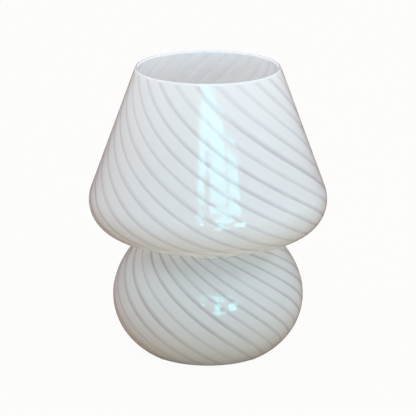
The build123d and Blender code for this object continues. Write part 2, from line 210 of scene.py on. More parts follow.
class GlassSizes(bpy.types.PropertyGroup):
    """Section of the glass, from the lip down."""

    wall: length("Wall", "Thickness of the blown glass", 0.003)
    rim_radius: length("Rim radius", "Outside, where the cone's line meets the lip's top", 0.0569)
    shoulder_radius: length("Shoulder", "Bend at the shade's widest", 0.0251)
    underside_radius: length("Underside", "Bend under the shade", 0.0409)
    neck_radius: length("Neck", "Outside, at its narrowest", 0.0508)
    neck_crease_radius: length("Neck crease", "Tight bend between shade and base", 0.0041)
    base_top_radius: length("Base top", "Bend above the base's widest", 0.0680)
    base_side_radius: length("Base side", "Bend at the base's widest", 0.0489)
    base_low_radius: length("Base low", "Bend down to the foot", 0.0569)
    shoulder_end: angle("Shoulder ends at", "Heading of the wall on its way down", -66.4)
    underside_end: angle("Underside ends at", "Heading of the wall on its way down", -101.0)
    neck_end: angle("Neck ends at", "Heading of the wall on its way down", 50.9)
    base_top_end: angle("Base top ends at", "Heading of the wall on its way down", 16.3)
    base_side_end: angle("Base side ends at", "Heading of the wall on its way down", -33.5)
    foot: angle("Foot at", "Heading of the wall where it meets the foot", -55.3)
    foot_edge: length("Foot edge", "Rounding of the foot's edge", 0.001)
    foot_ring: length("Foot ring", "Width of the flat ring that the pads are stuck to", 0.0095)
    push_up: length("Push-up", "How far the middle of the foot is raised", 0.005)
    floor: length("Floor", "Thickness of the glass in the foot", 0.0045)
    floor_fillet: length("Floor fillet", "Bend between floor and wall, inside", 0.005)
    hole_radius: length("Inlet hole", "Radius of the drilled hole for the cord", 0.0055)


class SwirlSizes(bpy.types.PropertyGroup):
    """How the stripes and ribs run round the glass."""

    lines: IntProperty(name="Lines", description="Stripes round the glass", default=26, min=3)
    columns: IntProperty(name="Columns", description="Faces from one line to the next", default=12, min=4)
    start: angle("Start", "Where the first line leaves the lip", -4.71)
    twist: FloatProperty(name="Twist", description="Degrees of turn for each millimetre down the wall",
                         default=1.0092)
    ease: FloatProperty(name="Ease", description="How much the twist eases off away from the waist",
                        default=0.174)
    waist_run: length("Waist", "Where the twist is steadiest, down the wall from the lip", 0.138)
    neck_twist: angle("Neck twist", "Extra turn that the closing of the neck gives", 51.1)
    neck_run: length("Neck run", "Where the neck's twist is centred", 0.1525)
    neck_spread: length("Neck spread", "Length over which the neck's twist builds up", 0.018)
    outer_relief: length("Outer ribs", "Depth of the grooves outside", 0.00004)
    inner_relief: length("Inner ribs", "Depth of the grooves inside", 0.00035)
    groove: FloatProperty(name="Groove sharpness", description="How narrow the grooves are", default=5.0)
    sway: FloatVectorProperty(name="Sway", description="Waves in the lines' spacing, once and twice round",
                              size=4, default=(0.077, 0.070, 0.048, -0.030))
    lip_fade: length("Lip fade", "Clear glass at the lip before the stripes begin", 0.0010)


class OpalColours(bpy.types.PropertyGroup):
    """Colours of the swirled glass."""

    band: colour("Band", "Opal white between the lines", (0.84, 0.845, 0.87))
    line: colour("Line", "Thin grey lines where the opal parts", (0.43, 0.395, 0.435))
    # painted light: the neck is lighter, standing in for light in the fold between shade and base
    neck: colour("Neck", "Denser opal where the glass was drawn in", (0.96, 0.95, 0.935))
    # painted shade: a darker, warmer band under the shade's widest, standing in for the shade and the warm
    # reflected light in the fold
    brim: colour("Brim", "Warmer glass under the shade's widest", (0.745, 0.72, 0.70))
    # painted shade: darker and greener under the brim, standing in for the shade and tinted light there
    base_top: colour("Base top", "Thicker, greener glass under the neck", (0.775, 0.82, 0.835))
    # painted shade and painted warm reflection: darker and warmer towards the foot
    base_low: colour("Base low", "Warmer glass towards the foot", (0.76, 0.73, 0.66))
    # painted light: the inside is lighter than the band, standing in for light that comes through the glass
    inside: colour("Inside", "The opal seen from within", (0.93, 0.95, 0.975))
    lip: colour("Lip", "Clear glass over the opal at the lip", (0.83, 0.84, 0.87))
    # painted reflection: a dark band on the lip's outer edge, standing in for the dark edge seen where the
    # lip is end on
    crest: colour("Crest", "The lip's outer edge, where the casing is seen end on", (0.26, 0.22, 0.28))
    # painted highlight: a white band on the lip's top
    polish: colour("Polish", "The lip's fire-polished top", (1.0, 1.0, 1.0))
    # painted shade: a bluish-grey band on the inner wall just below the lip
    collar: colour("Collar", "Inside, just below the lip", (0.78, 0.79, 0.90))


class ThreadSizes(bpy.types.PropertyGroup):
    """Threads and walls of the lampholder and the bulb."""

    pitch: length("Cap pitch", "Rise of the bulb's thread in one turn", 0.003629)
    depth: length("Cap thread depth", "From crest to root", 0.0010)
    cap_radius: length("Cap", "Over the crests of its thread", 0.0131)
    cap_mouth: length("Cap mouth", "Opening round the insulator", 0.0107)
    cap_wall: length("Cap wall", "Thickness of the cap's sheet", 0.0004)
    cap_collar: length("Cap collar", "Height of the flared end", 0.0015)
    spigot: length("Spigot", "Housing's end is wider than this, before it is drawn in", 0.012)
    spigot_draw: length("Spigot drawn in", "What clears the cap's thread", 0.00105)
    insulator: length("Insulator", "Its flange is wider than this, before it is drawn in", 0.011)
    insulator_draw: length("Insulator drawn in", "What clears the cap's thread", 0.0008)
    globe_wall: length("Globe wall", "Thickness of the bulb's diffuser", 0.0012)
    shell_wall: length("Shell wall", "Thickness of the screw shell's sheet", 0.0006)
    shell_mouth: length("Shell mouth", "Opening round the centre contact", 0.008)
    skirt_pitch: length("Skirt pitch", "Rise of the clamp rings' thread in one turn", 0.0025)
    skirt_depth: length("Skirt thread depth", "From crest to root", 0.0008)
    skirt_wall: length("Skirt wall", "Thickness of the skirt", 0.0022)
    skirt_lip: length("Skirt lip", "Thickness of its turned-in lip", 0.0015)
    skirt_mouth: length("Skirt mouth", "Opening in its lip", 0.0152)


class StageLook(bpy.types.PropertyGroup):
    """Camera and light."""

    elevation: angle("Elevation", "Camera above the horizon", 17.4)
    distance: length("Distance", "Camera from the lamp's middle", 1.6)
    focal: FloatProperty(name="Focal length", description="In millimetres, on a 36 mm sensor",
                         default=173.3)
    aim: length("Aim", "Height that the camera looks at", 0.1151)
    floor: colour("Floor", "Pale plain floor", (0.57, 0.45, 0.30))
    sky: colour("Sky", "Soft light from above", (0.90, 0.95, 1.0))
    bright_side: colour("Bright side", "Light from the front and the right", (0.70, 0.71, 0.77))
    dim_side: colour("Dim side", "Light from the left and behind", (0.58, 0.47, 0.48))
    card: colour("Card", "Dark foot of the bowl that only reflections see", (0.19, 0.10, 0.08))


GROUPS = {"lamp_glass": GlassSizes, "lamp_swirl": SwirlSizes, "lamp_opal": OpalColours,
          "lamp_thread": ThreadSizes, "lamp_stage": StageLook}


# ---- section of the glass
CONE_ROW = 2.6 * MM
BEND_ROW = 2.5 * MM
INNER_ROW = 3.2 * MM
ROW_TURN = radians(10)
RIBS_END = 15 * MM
FOOT_CLEAR = 0.2 * MM
LIP_ROWS, EDGE_ROWS, RING_ROWS, FLOOR_ROWS, FILLET_ROWS = 12, 4, 3, 12, 5

Bend = namedtuple("Bend", "centre radius begin end side")


def outward(heading):
    """Normal away from the axis of a wall that runs down at this heading; (radius, height)."""
    return Vector((cos(heading), sin(heading)))


def on_bend(centre, radius, heading, side=1):
    """Point of a bend where the wall has this heading; side is -1 where it is concave."""
    return centre + outward(heading) * (side * radius)


def smooth(amount):
    """0 at 0 and below, 1 at 1 and above, level at both ends."""
    amount = min(max(amount, 0.0), 1.0)
    return amount * amount * (3 - 2 * amount)


class Section:
    """Points of a turned piece's section, with what the ribbing tree reads at each of them."""

    def __init__(self):
        self.points = []

    def add(self, place, normal=(0, 0), run=0.0, relief=0.0, twist=0.0, lead=0.0):
        self.points.append((place, normal, run, relief, twist, lead))

    def as_object(self, name):
        mesh = bpy.data.meshes.new(name)
        mesh.from_pydata([(place[0], 0.0, place[1]) for place, *_ in self.points], [], [])
        across = mesh.attributes.new("across", "FLOAT_VECTOR", "POINT")
        for item, (_, normal, *_) in zip(across.data, self.points):
            item.vector = (normal[0], 0.0, normal[1])
        for column, label in enumerate(("run", "relief", "twist", "lead"), start=2):
            values = mesh.attributes.new(label, "FLOAT", "POINT")
            for item, point in zip(values.data, self.points):
                item.value = point[column]
        return new_object(name, mesh)


def new_object(name, data):
    piece = bpy.data.objects.new(name, data)
    bpy.context.scene.collection.objects.link(piece)
    return piece


def swirl_twist(swirl, run):
    """Angle by which a line has turned round the axis, this far down the wall from the lip."""
    past_waist = run - swirl.waist_run
    easing = swirl.ease * past_waist**3 / (3 * swirl.waist_run**2)
    neck = swirl.neck_twist * 0.5 * (1 + erf((run - swirl.neck_run) / swirl.neck_spread / 2**0.5))
    return swirl.start + radians((swirl.twist * run - easing) / MM) + neck


def glass_bends(sizes, foot_z, rim_z):
    """The bends of the outer wall from the shoulder down; the first begins where the cone ends."""
    neck = Vector((sizes.neck_radius + sizes.neck_crease_radius, 0))

    def away_from_neck(*bends):
        """Centres of the bends that follow the crease, from each one's first heading and radius."""
        centre, radius, side = neck, sizes.neck_crease_radius, -1
        for heading, next_radius in bends:
            centre = on_bend(centre, radius, heading, side) - outward(heading) * next_radius
            radius, side = next_radius, 1
            yield centre

    underside, shoulder = away_from_neck(
        (sizes.underside_end, sizes.underside_radius), (sizes.shoulder_end, sizes.shoulder_radius))
    base_top, base_side, base_low = away_from_neck(
        (sizes.neck_end, sizes.base_top_radius), (sizes.base_top_end, sizes.base_side_radius),
        (sizes.base_side_end, sizes.base_low_radius))
    rise = Vector((0, foot_z - on_bend(base_low, sizes.base_low_radius, sizes.foot).y))
    out = shoulder.x - sizes.rim_radius
    down = rim_z - (shoulder + rise).y
    heading = atan2(out, down) + asin(sizes.shoulder_radius / hypot(out, down))
    bends = []
    for centre, radius, end, side in (
        (shoulder, sizes.shoulder_radius, sizes.shoulder_end, 1),
        (underside, sizes.underside_radius, sizes.underside_end, 1),
        (neck, sizes.neck_crease_radius, sizes.neck_end, -1),
        (base_top, sizes.base_top_radius, sizes.base_top_end, 1),
        (base_side, sizes.base_side_radius, sizes.base_side_end, 1),
        (base_low, sizes.base_low_radius, sizes.foot, 1),
    ):
        bends.append(Bend(centre + rise, radius, heading, end, side))
        heading = end
    return bends


def outer_wall(bends, start):
    """Rows of the outer wall from the lip down, as (place, normal, run), and the wall's whole run."""
    cone = bends[0].begin
    slope = Vector((sin(cone), -cos(cone)))
    total = (on_bend(bends[0].centre, bends[0].radius, cone) - start).length
    count = ceil(total / CONE_ROW)
    rows = []
    for row in range(count):
        run = total * row / count
        rows.append((start + slope * run, outward(cone), run))
    for bend in bends:
        turn = bend.end - bend.begin
        arc = bend.radius * abs(turn)
        count = max(ceil(arc / BEND_ROW), ceil(abs(turn) / ROW_TURN))
        for part in [row / count for row in range(count)]:
            heading = bend.begin + turn * part
            place = on_bend(bend.centre, bend.radius, heading, bend.side)
            rows.append((place, outward(heading), total + arc * part))
        total += arc
    return rows, total


def add_foot(section, sizes, low_bend, foot_z, wall_end, twist):
    """Foot edge, ring and push-up, the floor and its fillet; gives the wall's heading at the fillet."""
    corner = on_bend(low_bend.centre, low_bend.radius, low_bend.end)
    edge = sizes.foot_edge
    turn = -pi / 2 - low_bend.end
    edge_centre = Vector((corner.x - edge * tan(abs(turn) / 2), foot_z + edge))
    while section.points[-1][0].y < edge_centre.y + edge * sin(low_bend.end) + FOOT_CLEAR:
        section.points.pop()
    for row in range(EDGE_ROWS + 1):
        heading = low_bend.end + turn * row / EDGE_ROWS
        section.add(edge_centre + outward(heading) * edge, run=wall_end, twist=twist)

    ring_inner = corner.x - sizes.foot_ring
    sphere = (ring_inner**2 + sizes.push_up**2) / (2 * sizes.push_up)
    sphere_z = foot_z + sizes.push_up - sphere

    def add_row(radius, height, run):
        section.add(Vector((radius, height)), run=run, twist=twist)

    for row in range(1, RING_ROWS + 1):
        radius = edge_centre.x + (ring_inner - edge_centre.x) * row / RING_ROWS
        add_row(radius, foot_z, wall_end + corner.x - radius)
    for row in range(1, FLOOR_ROWS + 1):
        radius = ring_inner * (1 - row / FLOOR_ROWS)
        add_row(radius, sphere_z + (sphere**2 - radius**2) ** 0.5, wall_end + corner.x - radius)
    floor_z, floor_sphere = foot_z + sizes.floor, sphere + sizes.floor
    floor_edge = (floor_sphere**2 - (floor_z - sphere_z) ** 2) ** 0.5
    for row in range(FLOOR_ROWS + 1):
        radius = floor_edge * row / FLOOR_ROWS
        add_row(radius, sphere_z + (floor_sphere**2 - radius**2) ** 0.5, -wall_end - floor_edge + radius)

    middle, fillet = low_bend.centre, sizes.floor_fillet
    fillet_z = floor_z + fillet
    fillet_x = middle.x + ((low_bend.radius - sizes.wall - fillet) ** 2 - (fillet_z - middle.y) ** 2) ** 0.5
    to_wall = atan2(fillet_z - middle.y, fillet_x - middle.x)
    for row in range(FILLET_ROWS + 1):
        heading = -pi / 2 + (to_wall + pi / 2) * row / FILLET_ROWS
        section.add(Vector((fillet_x, fillet_z)) + outward(heading) * fillet, run=-wall_end, twist=twist)
    return to_wall


def glass_section(sizes, swirl, foot_z, rim_z):
    """Outer wall from the lip to the foot, the foot and floor, and the inner wall back to the lip."""
    bends = glass_bends(sizes, foot_z, rim_z)
    cone = bends[0].begin
    lip = sizes.wall / 2
    top_z = rim_z - lip * (1 - sin(cone))
    start = Vector((sizes.rim_radius + (rim_z - top_z) * tan(cone), top_z))
    outside, wall_end = outer_wall(bends, start)
    section = Section()

    def add_ribbed(place, normal, at_run, run, depth):
        """A row with its ribs, which fade out at the lip and the foot."""
        shown = smooth(at_run / (4 * swirl.lip_fade)) * smooth((wall_end - at_run) / RIBS_END)
        section.add(place, normal, run, depth * shown, swirl_twist(swirl, at_run))

    for place, normal, at_run in outside:
        add_ribbed(place, normal, at_run, at_run, swirl.outer_relief)
    to_wall = add_foot(section, sizes, bends[-1], foot_z, wall_end, swirl_twist(swirl, wall_end))
    fillet_run = wall_end - sizes.base_low_radius * (to_wall - sizes.foot)
    kept = kept_normal = None
    for place, normal, at_run in reversed(outside):
        inner = place - normal * sizes.wall
        apart = kept is None or (inner - kept).length > INNER_ROW or normal.angle(kept_normal) > ROW_TURN
        if at_run <= fillet_run and apart:
            add_ribbed(inner, -normal, at_run, -at_run - pi * lip, swirl.inner_relief)
            kept, kept_normal = inner, normal
    lip_centre = start - outward(cone) * lip
    for row in range(LIP_ROWS + 1):
        turned = pi * (1 - row / LIP_ROWS)
        section.add(lip_centre + outward(cone + turned) * lip, run=-lip * turned, twist=swirl.start)
    return section


# ---- geometry trees
def geometry_tree(name, sockets):
    """A new tree, as a Net, and its named inputs; each is given with its default, or with its kind."""
    tree = bpy.data.node_groups.new(name, "GeometryNodeTree")
    tree.interface.new_socket("Geometry", in_out="OUTPUT", socket_type="NodeSocketGeometry")
    for label, default in sockets.items():
        kind = {int: "Int", float: "Float"}.get(type(default), default)
        socket = tree.interface.new_socket(label, in_out="INPUT", socket_type=f"NodeSocket{kind}")
        if default != kind:
            socket.default_value = default
    net = Net(tree)
    entry = net.node("NodeGroupInput")
    return net, {label: entry.also(label) for label in sockets}


def shape_of(net, source):
    """The geometry of the object at an input."""
    return net.node("GeometryNodeObjectInfo", {"transform_space": "ORIGINAL"}, {"Object": source},
                    "Geometry")


def finish_tree(net, shape, material):
    """Realize Instances, Set Material and the output."""
    shape = net.node("GeometryNodeRealizeInstances", {}, {"Geometry": shape})
    shape = net.node("GeometryNodeSetMaterial", {}, {"Geometry": shape, "Material": material})
    net.node("NodeGroupOutput", {}, {"Geometry": shape})
    return net.tree


SWAYS = ("Sway Sine", "Sway Cosine", "Second Sway Sine", "Second Sway Cosine")


def ribbed_turning():
    """Turns a section round the axis and presses ribs or a thread into it."""
    net, given = geometry_tree("ribbed_turning", {
        "Section": "Object",
        "Columns": 12,
        "Ribs": 1,
        "Groove Sharpness": 1.0,
        **dict.fromkeys(SWAYS, 0.0),
        "Material": "Material",
    })
    section = shape_of(net, given["Section"])
    rows = net.node("GeometryNodeAttributeDomainSize", {}, {"Geometry": section}, "Point Count")
    grid = net.node("GeometryNodeMeshGrid", {}, {"Vertices X": given["Columns"] + 1, "Vertices Y": rows})
    index = net.node("GeometryNodeInputIndex")
    column = net.maths("FLOOR", (index + 0.5) / rows)
    grid = net.node("GeometryNodeCaptureAttribute", {"captures": ("Column", "Row")},
                    {"Geometry": grid, "Column": column, "Row": index - column * rows}, "Geometry")
    share = grid.also("Column") / given["Columns"]

    def read(data_type, label):
        """What the section holds at this row."""
        if label == "position":
            value = net.node("GeometryNodeInputPosition")
        else:
            value = net.node("GeometryNodeInputNamedAttribute", {"data_type": data_type}, {"Name": label},
                             "Attribute")
        return net.node("GeometryNodeSampleIndex", {"data_type": data_type, "domain": "POINT"},
                        {"Geometry": section, "Value": value, "Index": grid.also("Row")})

    phase = share * given["Ribs"] + read("FLOAT", "lead")
    crest = 0.5 + 0.5 * net.maths("COSINE", phase * TURN)
    depth = read("FLOAT", "relief") * crest ** given["Groove Sharpness"]
    turn = around = share * TURN
    twice = around * 2
    for label, wave, angle in zip(SWAYS, ("SINE", "COSINE") * 2, (around, around, twice, twice)):
        turn = turn + given[label] * net.maths(wave, angle)
    turn = turn + read("FLOAT", "twist")
    place, across = [net.split(read("FLOAT_VECTOR", label)) for label in ("position", "across")]
    radius = place - across * depth
    # the first column lies towards the front, and the turn goes on to the right
    spot = net.join(
        radius * net.maths("SINE", turn),
        0.0 - radius * net.maths("COSINE", turn),
        place.also(2) - across.also(2) * depth,
    )
    shape = net.node("GeometryNodeSetPosition", {}, {"Geometry": grid, "Position": spot})
    chart = net.join(share * given["Ribs"], read("FLOAT", "run"))
    shape = net.node("GeometryNodeStoreNamedAttribute", {"data_type": "FLOAT2", "domain": "CORNER"},
                     {"Geometry": shape, "Name": "swirl", "Value": chart})
    shape = net.node("GeometryNodeMergeByDistance", {}, {"Geometry": shape, "Distance": 1e-6})
    shape = net.node("GeometryNodeSetShadeSmooth", {}, {"Geometry": shape})
    return finish_tree(net, shape, given["Material"])


def ring_of_copies():
    """Copies of one object on a circle about the lamp's axis."""
    net, given = geometry_tree("ring_of_copies", {
        "Pad": "Object",
        "Count": 4,
        "Circle Radius": 0.05,
        "First Angle": 0.0,
        "Material": "Material",
    })
    circle = net.node("GeometryNodeMeshCircle", {"fill_type": "NONE"},
                      {"Vertices": given["Count"], "Radius": given["Circle Radius"]})
    pad = shape_of(net, given["Pad"])
    shape = net.node("GeometryNodeInstanceOnPoints", {}, {"Points": circle, "Instance": pad})
    turn = net.join(0.0, 0.0, given["First Angle"])
    shape = net.node("GeometryNodeTransform", {}, {"Geometry": shape, "Rotation": turn})
    return finish_tree(net, shape, given["Material"])


def grown(name, build, values):
    """Runs a geometry tree, built when it is first needed, and keeps its result as a plain mesh."""
    tree = bpy.data.node_groups.get(build.__name__) or build()
    carrier = new_object(name + "_tree", bpy.data.meshes.new(name))
    modifier = carrier.modifiers.new(tree.name, "NODES")
    modifier.node_group = tree
    sockets = {item.name: item.identifier for item in tree.interface.items_tree if item.in_out == "INPUT"}
    for label, value in values.items():
        modifier[sockets[label]] = value
    piece = new_object(name, plain_mesh(carrier, name))
    bpy.data.objects.remove(carrier)
    return piece


# ---- meshes
SHARP_EDGE = radians(40)
EASED_EDGE = radians(35)
SHEET_EDGE = 0.15 * MM
ROUND_COLUMNS = 96
BALL_ROWS = 28


def plain_mesh(source, name):
    """The mesh that an object's modifiers make of it."""
    bpy.context.view_layer.update()
    graph = bpy.context.evaluated_depsgraph_get()
    mesh = bpy.data.meshes.new_from_object(source.evaluated_get(graph), depsgraph=graph)
    mesh.name = name
    return mesh


@contextmanager
def edited(mesh):
    """A mesh opened for editing, and written back at the end."""
    solid = bmesh.new()
    solid.from_mesh(mesh)
    yield solid
    solid.to_mesh(mesh)
    solid.free()


def turn_outwards(piece):
    """Faces outwards, smooth shading, and sharp edges left sharp."""
    with edited(piece.data) as solid:
        bmesh.ops.recalc_face_normals(solid, faces=solid.faces)
    for face in piece.data.polygons:
        face.use_smooth = True
    piece.data.set_sharp_from_angle(angle=SHARP_EDGE)
    return piece


def turned(name, section, inputs):
    """What the ribbing tree makes of a section."""
    outline = section.as_object(name + "_section")
    piece = grown(name, ribbed_turning, {"Section": outline, **inputs})
    bpy.data.objects.remove(outline)
    return piece


def rounded(corners, radius, spacing):
    """A closed outline with each corner rounded, and rows at most this far apart."""
    outline = []
    for number, corner in enumerate(corners):
        before = (corner - corners[number - 1]).normalized()
        after = (corners[(number + 1) % len(corners)] - corner).normalized()
        reach = radius * tan(abs(before.angle_signed(after)) / 2)
        start, end = corner - before * reach, corner + after * reach
        if outline:
            rows = ceil((start - outline[-1]).length / spacing)
            outline += [outline[-1].lerp(start, row / rows) for row in range(1, rows)]
        outline += [start, (start + end) / 2 * 0.5 + corner * 0.5, end]
    rows = ceil((outline[0] - outline[-1]).length / spacing)
    outline += [outline[-1].lerp(outline[0], row / rows) for row in range(1, rows)]
    return outline + outline[:1]


def threaded(name, corners, pitch, depth, low, high, fade, wall=0.0, lead=0.0):
    """A turned piece with a right-handed thread pressed into it from low to high, outside wall."""
    section = Section()
    for place in rounded([Vector(corner) for corner in corners], SHEET_EDGE, pitch / 9):
        relief = depth * smooth((place.y - low) / fade) * smooth((high - place.y) / fade)
        if place.x <= wall - 0.01 * MM:
            relief = 0.0
        section.add(place, (1, 0), relief=relief, lead=lead - place.y / pitch)
    return turn_outwards(turned(name, section, {"Columns": ROUND_COLUMNS}))


def turned_ball(name, centre_z, outer, inner, low_z):
    """A thin ball about the lamp's axis, cut off level at its low end."""
    section = Section()
    centre = Vector((0, centre_z))
    outer_end, inner_end = asin((low_z - centre_z) / outer), asin((low_z - centre_z) / inner)
    for radius, begin, end in ((outer, pi / 2, outer_end), (inner, inner_end, pi / 2)):
        for row in range(BALL_ROWS + 1):
            section.add(on_bend(centre, radius, begin + (end - begin) * row / BALL_ROWS))
    return turn_outwards(turned(name, section, {"Columns": ROUND_COLUMNS}))


def draw_in(piece, low, high, below, amount):
    """Moves the points between two distances from the axis towards it, below a height."""
    for vertex in piece.data.vertices:
        radius = vertex.co.xy.length
        if vertex.co.z < below and low < radius < high:
            vertex.co.xy *= 1 - amount / radius


def eased(node, name, width):
    """A copy of a node's solid with its sharp edges rounded."""
    mesh = frame["nodes"][node].data.copy()
    with edited(mesh) as solid:
        bmesh.ops.remove_doubles(solid, verts=solid.verts, dist=0.002 * MM)
        bmesh.ops.dissolve_limit(solid, angle_limit=radians(0.5), verts=solid.verts, edges=solid.edges)
    if "custom_normal" in mesh.attributes:
        mesh.attributes.remove(mesh.attributes["custom_normal"])
    rough = new_object(name + "_rough", mesh)
    bevel = rough.modifiers.new("ease", "BEVEL")
    bevel.width = width
    bevel.segments = 3
    bevel.limit_method = "ANGLE"
    bevel.angle_limit = EASED_EDGE
    piece = new_object(name, plain_mesh(rough, name))
    bpy.data.objects.remove(rough)
    return turn_outwards(piece)


def wear(piece, body, slot, *nodes):
    """The piece rides on a body, has a slot's finish, and stands for these nodes."""
    piece.data.materials.clear()
    piece.data.materials.append(finish_of(slot))
    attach(piece, body)
    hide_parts(*nodes)


# ---- finishes
def opal_glass(finish):
    """Milky glass under a clear casing, with thin grey lines between its bands.

    Its chart holds how many lines a point lies from the front, and its run: the metres
    down the wall from the lip, which are negative from the lip's top inwards.
    """
    opal, swirl = bpy.context.scene.lamp_opal, bpy.context.scene.lamp_swirl
    chart = finish.split(finish.node("ShaderNodeUVMap", {"uv_map": "swirl"}))
    run = chart.also(1)
    from_lip = abs(run)
    within = run.step(-2.4 * MM, -3.2 * MM)
    cloud = finish.noise(28.0)

    # every line has its own width and strength, wanders, and is sharper on its first side
    nearest = finish.maths("FLOOR", chart + 0.5)
    number = finish.maths("MODULO", nearest + swirl.lines, swirl.lines)
    chance = finish.node("ShaderNodeTexWhiteNoise", {"noise_dimensions": "1D"}, {"W": number})
    offset = chart - nearest + (finish.noise(45.0, 2.0) - 0.5) * 0.05
    width = 0.28 + 0.16 * chance
    near_lip = from_lip.step(45 * MM, 4 * MM)
    rising = offset.step(-0.10 - 0.14 * near_lip, 0.01 + 0.06 * near_lip)
    line = rising * (1 - (offset / width).step(0.0, 1.0))
    weight = (0.52 + 0.34 * finish.maths("FRACT", chance * 7.31)) * (0.75 + 0.5 * cloud)
    shown = from_lip.step(0.4 * swirl.lip_fade, 1.6 * swirl.lip_fade) * (1 - 0.5 * within)
    shown = shown * (0.7 + 0.3 * from_lip.step(20 * MM, 60 * MM)) * (1 - 0.4 * run.step(232 * MM, 262 * MM))

    def drawn_out(around, along):
        """Noise drawn out along the swirl."""
        return finish.noise(1.0, 2.0, place=finish.join(chart * around, run * along, number))

    def tint(base, share, tone, amount=1.0):
        return finish.mix(share * amount, base, tone)

    # the body's tints from the lip down: the inside and the neck are lighter, painted light, and the brim,
    # base top and base low are darker, painted shade
    # painted light: the inner wall is made lighter
    band = tint(opal.band, within, opal.inside)
    # painted shade: the brim's lower part is made darker and warmer
    band = tint(band, run.plateau(104 * MM, 128 * MM, 138 * MM, 146 * MM), opal.brim)
    # painted light: the fold at the neck is made lighter
    band = tint(band, run.plateau(134 * MM, 152 * MM, 176 * MM, 193 * MM), opal.neck)
    # painted shade: the base's top is made darker and greener
    band = tint(band, run.plateau(184 * MM, 195 * MM, 200 * MM, 236 * MM), opal.base_top)
    # painted shade and warm reflection towards the foot
    band = tint(band, run.step(228 * MM, 262 * MM), opal.base_low, 0.6)
    clouded = (cloud - 0.35) * 0.22 + (drawn_out(9.0, 14.0) - 0.5) * 0.10
    band = tint(band, clouded, [channel * 0.86 for channel in opal.band])
    # the lines, and then the lip's clear end; inside below the lip a painted shade (collar), on its top a
    # painted highlight, and on its outer edge a painted dark reflection (crest)
    base = tint(band, line * weight * shown, opal.line)
    clear_end = run.step(1.2 * swirl.lip_fade, 0.2 * swirl.lip_fade) * (1 - within)
    base = tint(base, clear_end, opal.lip, 0.85)
    # painted shade inside, just below the lip
    base = tint(base, within * run.step(-14 * MM, -4 * MM), opal.collar, 0.5)
    # painted highlight on the lip's top
    base = tint(base, run.plateau(-3.3 * MM, -2.6 * MM, -2.2 * MM, -1.8 * MM), opal.polish, 0.8)
    # painted reflection: a dark band on the lip's outer edge
    base = tint(base, run.plateau(-2.4 * MM, -1.9 * MM, -1.1 * MM, -0.8 * MM), opal.crest, 0.9)
    ripple = 0.3 * finish.noise(38.0, 1.0) + 0.07 * drawn_out(12.0, 24.0)
    return finish.shade(
        Base_Color=base,
        Roughness=0.01 + 0.02 * cloud,
        IOR=1.5,
        Subsurface_Weight=1.0,
        Subsurface_Radius=(1.0, 1.0, 1.0),
        Subsurface_Scale=14.0 * MM,
        Normal=finish.bump(ripple, 0.05 * MM),
    )


def skin(finish, tone, low, high, grain, roughness, spread, depth, **more):
    """A finish whose colour follows its tone, and whose gloss and relief follow its grain."""
    return finish.shade(
        Base_Color=finish.mix(tone, low, high),
        Roughness=roughness + spread * grain,
        Normal=finish.bump(grain, depth),
        **more,
    )


def clear_pad(finish):
    haze = finish.noise(900.0, 4.0)
    return skin(finish, haze, (0.86, 0.88, 0.89), (0.74, 0.77, 0.78), haze, 0.28, 0.2, 0.04 * MM,
                Transmission_Weight=0.55, IOR=1.48)


def rubber(finish, light, dark, roughness):
    dust, grain = finish.noise(180.0, 5.0, 0.65), finish.noise(2600.0)
    return skin(finish, dust, light, dark, grain, roughness, 0.18, 0.02 * MM,
                Subsurface_Weight=0.15, Subsurface_Scale=1.0 * MM)


def grommet_rubber(finish):
    return rubber(finish, (0.86, 0.86, 0.84), (0.78, 0.78, 0.76), 0.48)


def silicone(finish):
    return rubber(finish, (0.84, 0.85, 0.84), (0.76, 0.77, 0.77), 0.36)


def zinc_steel(finish):
    """Zinc plating: faint spangle over a fine brushed grain."""
    spangle = finish.node("ShaderNodeTexVoronoi", {"feature": "SMOOTH_F1"},
                          {"Vector": finish.place, "Scale": 420.0}, "Distance")
    grain = finish.noise(1.0, 4.0, 0.6, finish.stretched((240.0, 3000.0, 3000.0), radians(25)))
    stain = finish.noise(70.0, 4.0, 0.6)
    return finish.shade(
        Base_Color=finish.mix(stain * 0.7 + spangle * 0.3, (0.70, 0.71, 0.73), (0.50, 0.51, 0.53)),
        Metallic=1.0,
        Roughness=0.24 + 0.16 * grain + 0.12 * stain,
        Normal=finish.bump(grain + spangle, 0.01 * MM),
    )


def spring_steel(finish):
    """Rolled strip: a fine drawn grain, with a straw tint in places."""
    heat = finish.noise(110.0)
    grain = finish.noise(1.0, 4.0, 0.7, finish.stretched((90.0, 4200.0, 4200.0)))
    return skin(finish, heat, (0.58, 0.58, 0.59), (0.50, 0.48, 0.45), grain, 0.20, 0.18, 0.008 * MM,
                Metallic=1.0)


def moulded(finish, light, dark, roughness):
    """Moulded plastic: a faint flow in its colour and an orange-peel gloss."""
    flow = finish.noise(60.0, 4.0, 0.6)
    return finish.shade(
        Base_Color=finish.mix(flow, light, dark),
        Roughness=roughness + 0.12 * flow,
        Subsurface_Weight=0.1,
        Subsurface_Scale=0.8 * MM,
        Normal=finish.bump(finish.noise(1500.0, 2.0), 0.012 * MM),
    )


def white_plastic(finish):
    return moulded(finish, (0.84, 0.83, 0.80), (0.78, 0.765, 0.73), 0.34)


def bulb_plastic(finish):
    return moulded(finish, (0.87, 0.87, 0.86), (0.82, 0.82, 0.80), 0.22)


def porcelain(finish):
    """Glazed steatite with a few iron specks."""
    pool = finish.noise(140.0)
    speck = finish.noise(1400.0, 2.0, 0.4).step(0.70, 0.76)
    base = finish.mix(pool, (0.86, 0.85, 0.81), (0.80, 0.785, 0.74))
    return finish.shade(
        Base_Color=finish.mix(speck * 0.6, base, (0.34, 0.27, 0.2)),
        Roughness=0.12 + 0.1 * pool,
        Coat_Weight=0.6,
        Coat_Roughness=0.05,
        Normal=finish.bump(pool, 0.05 * MM),
    )


